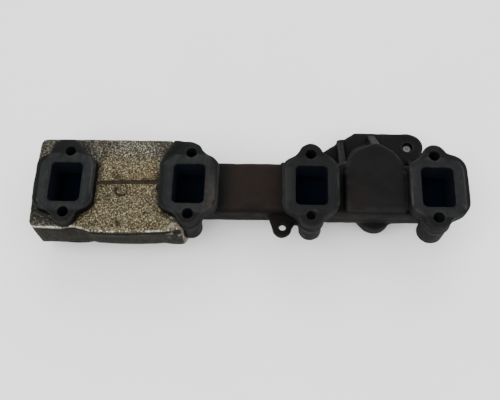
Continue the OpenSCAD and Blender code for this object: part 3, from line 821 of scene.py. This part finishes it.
def shell(name, node, s, inset, thick, clear, pitch, hole_r, kind, material, limit):
    x0, x1 = SHIELD["x0"] + inset, right_end(s) - inset
    gap, rc = 0.35, max(4.4 - inset, 1.0)
    O, n2 = half_outline(s, inset, gap, pitch)
    C = np.array([SEAM_Y + s * gap, -40.0])
    T = []
    for f in np.linspace(0.02, 1, int(42 / pitch)):
        T.append((x0, rc, f))
    m = max(5, int(rc * 1.6 / pitch))
    for f in np.linspace(0, math.pi / 2, m)[1:]:
        T.append((x0 + rc * (1 - math.cos(f)), rc * (1 - math.sin(f)), 1.0))
    L = x1 - x0 - 2 * rc
    for f in np.linspace(0, 1, int(L / pitch))[1:-1]:
        T.append((x0 + rc + L * f, 0.0, 1.0))
    for f in np.linspace(math.pi / 2, 0, m):
        T.append((x1 - rc * (1 - math.cos(f)), rc * (1 - math.sin(f)), 1.0))
    for f in np.linspace(1, 0.02, int(42 / pitch))[1:]:
        T.append((x1, rc, f))
    T = np.array(T)
    yz = C + T[None, :, 2:3] * (O[:, None] - n2[:, None] * T[None, :, 1:2] - C)
    P = np.concatenate([np.broadcast_to(T[None, :, 0:1], yz.shape[:2] + (1,)), yz], -1)
    N = np.cross(np.gradient(P, axis=0), np.gradient(P, axis=1))
    N /= np.linalg.norm(N, axis=-1, keepdims=True) + 1e-12
    mid = P.shape[1] // 2
    sign = 1.0 if (N[:, mid, 1:] * n2).sum() > 0 else -1.0
    N = N * sign
    shape = P.shape[:2]
    p, n = P.reshape(-1, 3), N.reshape(-1, 3)
    D = openings(p, s, clear, hole_r)
    x, y, z = p.T
    low = dents(p, n, s)
    front = ramp01(n[:, 2], 0.5, 0.9)
    # wavy lip along the lower front corner of the lower shell
    ang = np.degrees(np.arctan2(-n[:, 1], n[:, 2]))
    move = np.zeros_like(p)
    if s < 0:
        corner = np.hypot(np.maximum(y - (SHIELD["y0"] + 2.5), 0) / 7.0, np.maximum(-z - (SHIELD["front"] + 2.5), 0) / 8.0)
        dy = np.interp(x, LIP_X, LIP_DY)
        move[:, 1] += dy * np.exp(-corner ** 2)
    # seam: the front edges stand apart and roll inwards
    g = 1.8 * ramp01(x, -147, -143) * ramp01(-x, 86, 90)
    near = np.exp(-((np.abs(y - SEAM_Y) - gap) / 4.0) ** 2) * front
    move[:, 1] += s * g * near + 0.026 * (x + 119) * near
    # the left corners are rounded as seen from the front
    rad = 9.0 if s > 0 else 10.0
    qx, qy = rad - (x - SHIELD["x0"]), rad - (SHIELD["y1"] - y if s > 0 else y - SHIELD["y0"])
    ql = np.hypot(np.maximum(qx, 0), np.maximum(qy, 0))
    over = (qx > 0) & (qy > 0) & (ql > rad - 0.4 - inset)
    k = np.where(over, 1 - (rad - 0.4 - inset) / np.maximum(ql, 1e-6), 0)
    move[:, 0] += qx * k
    move[:, 1] -= s * qy * k
    # the left end bulges a little
    move[:, 0] -= 1.7 * ramp01(-n[:, 0], 0.0, 0.9) * np.exp(-((y - 2) / 24.0) ** 2)
    roll = -0.55 * np.exp(-((np.abs(y - SEAM_Y) - gap) / 1.7)) * front
    attrs = {}
    if kind == "skin":
        f1, f2 = cells(p, 1.85, 21)
        b = np.clip(1 - f1 / 0.62, 0, 1)
        b = b * b * (3 - 2 * b)
        lip = np.exp(-((ang - 38) / 11.0) ** 2) if s < 0 else 0 * x
        furrow = np.exp(-((ang - 72) / 12.0) ** 2) * (n[:, 0] > -0.5) if s < 0 else 0 * x
        emb = np.ones(len(p))
        emb *= 0.25 + 0.75 * ramp01(np.abs(y - SEAM_Y), 2.0, 4.0)
        r = np.hypot(x + 123.1, y + 5.3)
        th = np.degrees(np.arctan2(y + 5.3, x + 123.1))
        arc = front * np.exp(-((r - 5.4) / 1.0) ** 2) * np.where((th > 62) & (th < 150), 0.25, 1.0) * np.where((th > -40) & (th < 62), 0.35, 1.0)
        spot = front * (np.exp(-(((x + 129.3) ** 2 + (y - 8.2) ** 2) / 18.0)) + np.exp(-(((x + 142.7) ** 2 + (y - 33.8) ** 2) / 12.0)))
        under = ramp01(-n[:, 1], 0.6, 0.9) if s < 0 else 0 * x
        left = ramp01(-n[:, 0], 0.5, 0.9)
        emb *= (1 - 0.75 * np.clip(spot, 0, 1)) * (1 - 0.7 * arc) * (1 - 0.72 * under) * (1 - 0.5 * lip)
        back = n[:, 2] < -0.5
        calm = 0
        for fx in FIX_X:
            calm = calm + (np.hypot(x - fx, y - FIX_Y[s]) < 8.5) * back
        emb *= 1 - np.clip(calm, 0, 1)
        worn = ramp01(fbm(p, 16, 51, 3), -0.5, 0.25)
        emb *= 0.45 + 0.55 * worn
        hem = lip * (0.75 + 0.6 * vnoise(p, 8, 61) + 0.5 * vnoise(p, 3.0, 62)) - 0.9 * furrow * ramp01(x, -160, -148)
        crumple = ramp01(x, -80, -72) * ramp01(-y, 25, 32) * ramp01(z, -30, -20) * (s < 0)
        disp = low + roll + 0.42 * b * emb - 1.0 * arc + hem + crumple * 0.3 * vnoise(p, 2.6, 71)
        P_in = p + move + n * (low + roll - thick + 0.5 * hem - 0.5 * arc)[:, None]
        n1, n2_ = fbm(p, 15, 81, 4), fbm(p, 6, 82, 3)
        mid_panel = ramp01(x, -158, -140) * ramp01(-x, 64, 80)
        rust = np.clip(ramp01(n1, -0.15, 0.4) * 0.75 * front * mid_panel + 1.2 * np.clip(spot, 0, 1) + 0.8 * arc
                       + 0.8 * np.exp(-((np.abs(y - SEAM_Y)) / 2.4) ** 2) * front
                       + 0.6 * front * np.exp(-((x + 104) / 2.2) ** 2 - ((y + 3) / 8.0) ** 2)
                       + 0.6 * front * np.exp(-((y - 13) / 6.0) ** 2) * ramp01(n2_, -0.3, 0.25) * mid_panel, 0, 1)
        # soot, plus painted shade next to the flanges and over the upper right of the first port
        soot_and_shade = np.exp(-np.clip(D, 0, 50) / (5.0 if s > 0 else 2.6)) * front * 0.85
        soot_and_shade = np.clip(soot_and_shade + 0.8 * front * ramp01(-x, 176, 190) * ramp01(-y, -24, -10) + 0.35 * (s > 0) * front * ramp01(y, 26, 44) * ramp01(n1, -0.7, 0.2) + 0.5 * (s > 0) * front * ramp01(-x, 138, 152) * ramp01(x, -176, -168) * ramp01(n2_, -0.6, 0.3)
                       + 0.5 * front * ramp01(n2_, 0.15, 0.6) * (s > 0), 0, 1)
        strong = 0.8 * ramp01(-x, 150, 160) + 0.15
        # bare folded foil along the lip, plus a painted highlight where the fold catches light
        bare_and_highlight = np.clip(lip ** 1.6 * ramp01(0.5 * vnoise(p, 9, 91) + 0.8 * vnoise(p, 2.2, 92) + 1.0 * vnoise(p, 1.25, 94) + strong, -0.1, 0.9) + crumple * ramp01(vnoise(p, 3.0, 93), 0.2, 0.7) * 0.25, 0, 1)
        # painted shadow line in the furrow under the lip
        soot_and_shade = np.clip(soot_and_shade + 0.9 * furrow * ramp01(x, -152, -146) + 0.9 * arc, 0, 1)
        cool = (s > 0) * front * np.clip(ramp01(y + 6 * n1, 22, 36) + 0.8 * ramp01(-x, 140, 154) + 0.6 * ramp01(x, -92, -82), 0, 1) + (s < 0) * front * ramp01(-x, 160, 172) * 0.9
        attrs = {"cool": cool, "hgt": b * (0.3 + 0.7 * emb), "rust": rust, "soot_and_shade": soot_and_shade, "bare_and_highlight": bare_and_highlight, "mark": np.clip(1.4 * arc + 0.9 * np.clip(spot - 0.2, 0, 1) + 1.5 * front * np.exp(-((x + 123.8 + 0.4 * (y + 38.0)) ** 2) / 4.5 - ((y + 38.0) ** 2) / 12.0), 0, 1),
                 # painted shade mask for faces turned away from the front
                 "under": np.clip(under + left * 0.8 + back * 0.5 + (n[:, 1] > 0.6) * 0.45, 0, 1), "crumple": crumple}
    elif kind == "felt":
        fuzz = 0.22 * fbm(p, 3.2, 101, 3)
        disp = low + roll - 0.5 + fuzz
        P_in = p + move + n * (low + roll - thick + 0.35 + 0.2 * fbm(p, 3.0, 102, 2))[:, None]
        attrs = {"dirt": ramp01(fbm(p, 9, 103, 3), -0.4, 0.4)}
    else:
        ripple = 0.1 * fbm(p, 9, 111, 2)
        disp = low + roll + ripple
        P_in = p + move + n * (low + roll + ripple - thick)[:, None]
        attrs = {"dirt": ramp01(fbm(p, 12, 113, 3), -0.4, 0.4)}
    P_out = p + move + n * disp[:, None]
    ob = sheet_mesh(name, P_out.reshape(shape + (3,)), P_in.reshape(shape + (3,)), D.reshape(shape),
                    {key: np.asarray(val, float).reshape(shape) for key, val in attrs.items()}, sign < 0, 55 if kind != "felt" else None, limit)
    ob.data.materials.append(material)
    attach(ob, "root")
    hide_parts(node)
    return ob


def foil_material():
    M = Mat("embossed_foil")
    hgt, rust, soot_and_shade, bare_and_highlight, under, crumple = (M.attr(k) for k in ("hgt", "rust", "soot_and_shade", "bare_and_highlight", "under", "crumple"))
    speck = M.voro(1.9, "F1")
    fine = M.noise(2.1, 3, 0.6)
    broad = M.noise(22, 4, 0.6, 0.4)
    c = M.mix(M.map(broad, 0.35, 0.65, smooth=True), lin(*FOIL_A), lin(*FOIL_B))
    cool = M.math("MULTIPLY", M.attr("cool"), 0.7)
    c = M.mix(M.math("MULTIPLY", cool, 0.85), c, lin(92, 93, 87))
    c = M.mix(M.math("MULTIPLY", rust, M.map(fine, 0.3, 0.7, 0.45, 1.0)), c, lin(*FOIL_RUST))
    # painted shade in the hollows of the embossing; grain and speck add dirt and more painted shade between the bumps
    groove_shade = M.math("MULTIPLY", M.map(hgt, 0.55, 0.05, 0.0, 1.0), M.map(fine, 0.3, 0.65, 0.55, 1.0))
    c = M.mix(M.math("MULTIPLY", groove_shade, 0.7), c, lin(*FOIL_DIRT_AND_SHADE))
    grain = M.noise(1.45, 3, 0.75, 0.8)
    c = M.mix(M.math("MULTIPLY", M.map(grain, 0.52, 0.4), 0.72), c, lin(*FOIL_DIRT_AND_SHADE))
    c = M.mix(M.math("MULTIPLY", M.map(speck, 0.45, 0.65), 0.45), c, lin(*FOIL_DIRT_AND_SHADE))
    # painted highlights: bright glints on the tips of the embossing
    tip_highlight = M.math("ADD", M.map(grain, 0.56, 0.68), M.math("MULTIPLY", M.map(speck, 0.3, 0.08), 0.45), True)
    c = M.mix(M.math("MULTIPLY", tip_highlight, M.map(broad, 0.3, 0.7, 0.35, 0.8)), c, M.mix(cool, lin(*FOIL_TIP_HIGHLIGHT), lin(222, 221, 212)))
    c = M.mix(M.math("MULTIPLY", M.attr("mark"), 0.84), c, lin(36, 26, 15))
    # soot and painted shade
    c = M.mix(M.math("MULTIPLY", soot_and_shade, M.map(fine, 0.3, 0.7, 0.6, 0.95)), c, lin(*FOIL_SOOT_AND_SHADE))
    # painted shade: underside, left end, back and top faces of the shield darkened
    c = M.mix(M.math("MULTIPLY", under, 0.9), c, M.mix(M.map(M.noise(8, 4, 0.6), 0.4, 0.72), lin(*FOIL_UNDER_SHADE), lin(27, 27, 25)))
    # bare foil and painted highlight along the lip
    c = M.mix(M.math("MULTIPLY", bare_and_highlight, M.map(fine, 0.35, 0.6, 0.45, 0.9)), c, lin(186, 184, 172))
    metal = M.math("MULTIPLY", M.math("SUBTRACT", 1.0, M.math("MULTIPLY", under, 0.75)), M.math("SUBTRACT", 1.0, M.math("MULTIPLY", rust, 0.55)))
    metal = M.math("MULTIPLY", metal, 0.85)
    r = M.map(fine, 0.3, 0.7, 0.34, 0.55)
    r = M.math("ADD", r, M.math("MULTIPLY", rust, 0.2))
    r = M.math("ADD", r, M.math("MULTIPLY", under, 0.4))
    r = M.math("SUBTRACT", r, M.math("MULTIPLY", bare_and_highlight, 0.12), True)
    n = M.bump(M.math("ADD", M.math("MULTIPLY", speck, -0.5), M.math("MULTIPLY", M.noise(0.9, 2, 0.5), 0.5)), 0.35, 0.6)
    return M.set(color=c, rough=r, metal=metal, normal=n, spec=0.12)


FOIL_A = (106, 99, 80)
FOIL_B = (120, 110, 82)
FOIL_RUST = (94, 72, 40)
FOIL_DIRT_AND_SHADE = (20, 17, 12)
FOIL_TIP_HIGHLIGHT = (206, 196, 164)
FOIL_SOOT_AND_SHADE = (22, 22, 21)
FOIL_UNDER_SHADE = (11, 11, 10)


def felt_material():
    M = Mat("insulating_felt")
    fib = M.noise(1.1, 5, 0.7, 1.2, stretch=(1.0, 0.35, 1.0))
    c = M.mix(M.map(M.noise(6, 4, 0.6), 0.35, 0.65), lin(150, 142, 124), lin(112, 104, 88))
    c = M.mix(M.math("MULTIPLY", M.attr("dirt"), 0.5), c, lin(74, 66, 54))
    c = M.mix(M.map(fib, 0.45, 0.75, 0.0, 0.5), c, lin(190, 184, 168))
    return M.set(color=c, rough=0.95, spec=0.15, sheen=0.3, normal=M.bump(fib, 0.6, 0.9))


def liner_material():
    M = Mat("liner_foil")
    broad = M.noise(26, 4, 0.6, 0.6)
    c = M.mix(M.map(broad, 0.3, 0.5), lin(128, 112, 84), lin(104, 92, 84))
    c = M.mix(M.map(broad, 0.52, 0.7), c, lin(74, 76, 92))
    c = M.mix(M.math("MULTIPLY", M.attr("dirt"), 0.45), c, lin(60, 50, 42))
    fine = M.noise(1.4, 4, 0.6)
    return M.set(color=c, rough=M.map(fine, 0.3, 0.7, 0.32, 0.5), metal=0.9, normal=M.bump(fine, 0.15, 0.4))


def steel_material(name, a, b, rust, metal=0.75, spec=0.4, base_rough=0.36):
    M = Mat(name)
    mid, fine = M.noise(5, 5, 0.65, 0.3), M.noise(1.0, 4, 0.6)
    c = M.mix(M.map(mid, 0.35, 0.65, smooth=True), lin(*a), lin(*b))
    f = M.map(M.noise(2.6, 5, 0.7), 0.5, 0.66, 0.0, 0.85, True)
    c = M.mix(f, c, lin(*rust))
    m = M.math("MULTIPLY", M.math("SUBTRACT", 1.0, f), metal)
    return M.set(color=c, rough=M.math("ADD", M.map(fine, 0.3, 0.7, base_rough, base_rough + 0.16), M.math("MULTIPLY", f, 0.3), True), metal=m, normal=M.bump(fine, 0.22, 0.7), spec=spec)


def build_shield():
    foil, felt, liner = foil_material(), felt_material(), liner_material()
    for s, w in ((1, "upper"), (-1, "lower")):
        shell("shield_%s_skin_detail" % w, "shield_%s_skin" % w, s, 0.0, 0.8, 0.75, 0.62, 3.4, "skin", foil, 198000)
        shell("shield_%s_felt_detail" % w, "shield_%s_felt" % w, s, 0.8, 3.0, 1.7, 1.5, 6.1, "felt", felt, 90000)
        shell("shield_%s_liner_detail" % w, "shield_%s_liner" % w, s, 3.8, 0.5, 1.3, 1.6, 6.1, "liner", liner, 70000)
    # seam strip with a soft bead along its middle
    xs = np.linspace(-148.5, -88.0, 158)
    ys = np.linspace(SEAM_Y - 5.9, SEAM_Y + 5.9, 40)
    X, Y = np.meshgrid(xs, ys, indexing="ij")
    q = np.stack([X.ravel(), Y.ravel(), np.zeros(X.size)], 1)
    bead = 0.62 * np.exp(-((Y - SEAM_Y - 0.026 * (X + 119)) / 1.9) ** 2) + 0.16 * fbm(q, 7, 131, 2).reshape(X.shape) * np.exp(-((Y - SEAM_Y - 0.026 * (X + 119)) / 2.5) ** 2)
    edge = np.minimum(np.minimum(X + 148.5, -88.0 - X), np.minimum(Y - SEAM_Y + 5.9, SEAM_Y + 5.9 - Y))
    soft = 0.12 * (1 - np.clip(edge / 0.5, 0, 1)) ** 2
    top = np.stack([X, Y, -9.95 + bead - soft], -1)
    bot = np.stack([X, Y, -10.6 + 0.6 * bead + soft], -1)
    ob = sheet_mesh("shield_seam_strip_detail", top, bot, np.ones(X.shape), {}, False, 60, None)
    # painted shade: the strip is coloured dark brown with no shine to stand for the shaded seam groove
    ob.data.materials.append(steel_material("seam_steel", (33, 29, 21), (41, 36, 26), (24, 20, 14), 0.0, 0.08, 0.75))
    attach(ob, "root")
    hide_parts("shield_seam_strip")


# ---------------------------------------------------------------- fasteners
def ring_set(cx, cy, steps, n=72):
    """steps: (z, r) or (z, function of angle), stacked along z."""
    th = np.linspace(0, 2 * math.pi, n, endpoint=False)
    out = []
    for z, r in steps:
        rr = r(th) if callable(r) else np.full(n, float(r))
        out.append(np.stack([cx + rr * np.cos(th), cy + rr * np.sin(th), np.full(n, z)], 1))
    return np.array(out)


def thread(z0, z1, R, pitch, depth):
    """Rings of a helical thread from z0 down to z1, fading in over the first and out over the last half turn."""
    steps = []
    m = int(abs(z1 - z0) / pitch * 9)
    for f in np.linspace(0, 1, m):
        z = z0 + (z1 - z0) * f
        fade = min(1.0, abs(z - z0) / (0.6 * pitch), abs(z1 - z) / (0.6 * pitch))

        def r(th, z=z, fade=fade):
            w = np.abs(((z / pitch - th / (2 * math.pi)) % 1.0) * 2 - 1)
            w = np.clip((w - 0.12) / 0.76, 0, 1)
            return R - depth * (w * fade + (1 - fade) * 0.55)
        steps.append((z, r))
    return steps


def piece(name, node, v, polys, mat, angle=35):
    ob = add_mesh(name, v, polys, None, angle=angle)
    bm_fix(ob)
    ob.data.materials.append(mat)
    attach(ob, "root")
    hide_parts(node)
    return ob


def bm_fix(ob):
    """Turns the mesh outside out if its signed volume is negative."""
    me = ob.data
    me.calc_loop_triangles()
    co = np.empty(len(me.vertices) * 3, np.float32)
    me.vertices.foreach_get("co", co)
    co = co.reshape(-1, 3).astype(float)
    t = np.empty(len(me.loop_triangles) * 3, np.int32)
    me.loop_triangles.foreach_get("vertices", t)
    t = t.reshape(-1, 3)
    co = co - co.mean(0)
    if np.einsum("ij,ij->i", co[t[:, 0]], np.cross(co[t[:, 1]], co[t[:, 2]])).sum() < 0:
        me.flip_normals()


def hex_r(th):
    return 4.85 / np.cos((th % (math.pi / 3)) - math.pi / 6)


def build_fasteners():
    rusty = steel_material("fastener_steel", (92, 84, 76), (70, 60, 52), (86, 52, 30), 0.7)
    stud_mat = steel_material("stud_steel", (92, 92, 90), (72, 71, 69), (70, 54, 40), 0.8)
    for i, lr in ((0, "left"), (1, "right")):
        for s, ul in ((1, "upper"), (-1, "lower")):
            cx, cy = FIX_X[i], FIX_Y[s]
            steps = [(-58.5, 0.4), (-58.5, 2.2)] + thread(-59.0, -71.6, 3.0, 1.0, 0.5) + [(-72.0, 2.95), (-72.2, 3.4)]
            steps += [(-72.2, lambda th: np.minimum(hex_r(th), 4.9)), (-72.45, lambda th: np.minimum(hex_r(th), 5.45))]
            for z in np.linspace(-72.7, -76.1, 8):
                steps.append((z, hex_r))
            for f in np.linspace(0.15, 1, 5):
                steps.append((-76.1 - 0.85 * f, lambda th, f=f: np.minimum(hex_r(th) - 0.04, 5.62 - 0.95 * f ** 1.3)))
            steps += [(-77.0, 4.3), (-76.95, 3.4), (-76.75, 3.0), (-76.7, 0.4)]
            v, p = rings_mesh(ring_set(cx, cy, steps, 96))
            name = "%s_%s" % (ul, lr)
            piece("bolt_%s_detail" % name, "shield_bolt_%s" % name, v, p, rusty, 32)

            def ring(node, r0, r1, z0, z1, bev, label, tilt=0.0):
                prof = [(r0, z0 - bev), (r0 + bev, z0), (r1 - bev * 1.6, z0), (r1, z0 - bev * 1.2), (r1, z1 + bev * 1.2), (r1 - bev * 1.6, z1), (r0 + bev, z1), (r0, z1 + bev)]
                dense = []
                for a, b in zip(prof, prof[1:] + prof[:1]):
                    for f in (0, 0.5):
                        dense.append((a[1] + (b[1] - a[1]) * f, a[0] + (b[0] - a[0]) * f))
                rs = ring_set(cx, cy, dense, 84)
                rs[..., 2] += 0.025 * np.sin(np.arctan2(rs[..., 1] - cy, rs[..., 0] - cx) * 2 + i)
                v, p = rings_mesh(rs, closed=True)
                piece(label, node, v, p, rusty, 40)
            ring("shield_washer_" + name, 3.3, 7.5, -71.0, -72.2, 0.18, "washer_%s_detail" % name)
            ring("shield_spacer_" + name, 3.3, 6.0, -66.7, -70.15, 0.3, "spacer_%s_detail" % name)
    for p0, name in zip(STUDS, ("upper_right", "upper_left", "lower")):
        steps = [(-54.5, 0.3), (-54.45, 0.9), (-54.0, 1.5), (-54.0, 3.7), (-54.25, 4.1)] + thread(-54.7, -60.2, 4.98, 1.5, 0.75)
        steps += [(-60.5, 4.3), (-61.7, 4.3)] + thread(-62.1, -76.0, 5.0, 1.5, 0.8) + [(-76.5, 4.3), (-77.0, 3.8), (-77.0, 1.4), (-76.6, 0.9), (-76.55, 0.3)]
        v, p = rings_mesh(ring_set(p0[0], p0[1], steps, 72))
        piece("stud_%s_detail" % name, "outlet_stud_" + name, v, p, stud_mat, 50)


build_casting()
build_shield()
build_fasteners()

# ---------------------------------------------------------------- camera
ROT = ((-0.4049977, "X"), (-0.0339, "Y"), (-0.0159, "Z"))
R = Matrix.Identity(3)
for ang, ax in ROT:
    R = Matrix.Rotation(ang, 3, ax) @ R
T = Vector((0.0000794, 0.0160187, -0.683895))
cam_data = bpy.data.cameras.new("camera")
cam = bpy.data.objects.new("camera", cam_data)
bpy.context.scene.collection.objects.link(cam)
cam_data.sensor_width = 36.0
cam_data.lens = 728.7242 / 500.0 * 36.0
cam_data.clip_start = 0.01
cam_data.clip_end = 20.0
Rt = R.transposed()
cam.matrix_world = Matrix.Translation(-(Rt @ T)) @ Rt.to_4x4()
bpy.context.scene.camera = cam

floor_z = cad_box[0][2]
me = bpy.data.meshes.new("floor")
s = 3.0
me.from_pydata([(-s, -s, floor_z), (s, -s, floor_z), (s, s, floor_z), (-s, s, floor_z)], [], [(0, 1, 2, 3)])
floor = bpy.data.objects.new("floor", me)
bpy.context.scene.collection.objects.link(floor)
FM = Mat("floor")
fc = FM.mix(FM.map(FM.noise(180, 3, 0.5), 0.3, 0.7), (0.92, 0.92, 0.92, 1), (0.95, 0.95, 0.95, 1))
me.materials.append(FM.set(color=fc, rough=0.9, spec=0.2))

for name, loc, power, size in (("key", (-0.6, -0.6, 1.6), 30, 1.4), ("fill", (1.1, -0.5, 1.3), 16, 1.6), ("back", (0.1, 1.2, 1.2), 18, 1.4)):
    ld = bpy.data.lights.new(name, "AREA")
    ld.energy = power
    ld.size = size
    lo = bpy.data.objects.new(name, ld)
    lo.location = loc
    lo.rotation_euler = (Vector((0, 0, 0)) - Vector(loc)).to_track_quat("-Z", "Y").to_euler()
    bpy.context.scene.collection.objects.link(lo)

w = bpy.data.worlds.new("world")
bpy.context.scene.world = w
w.use_nodes = True
w.node_tree.nodes["Background"].inputs[0].default_value = (1, 1, 1, 1)
w.node_tree.nodes["Background"].inputs[1].default_value = 0.95
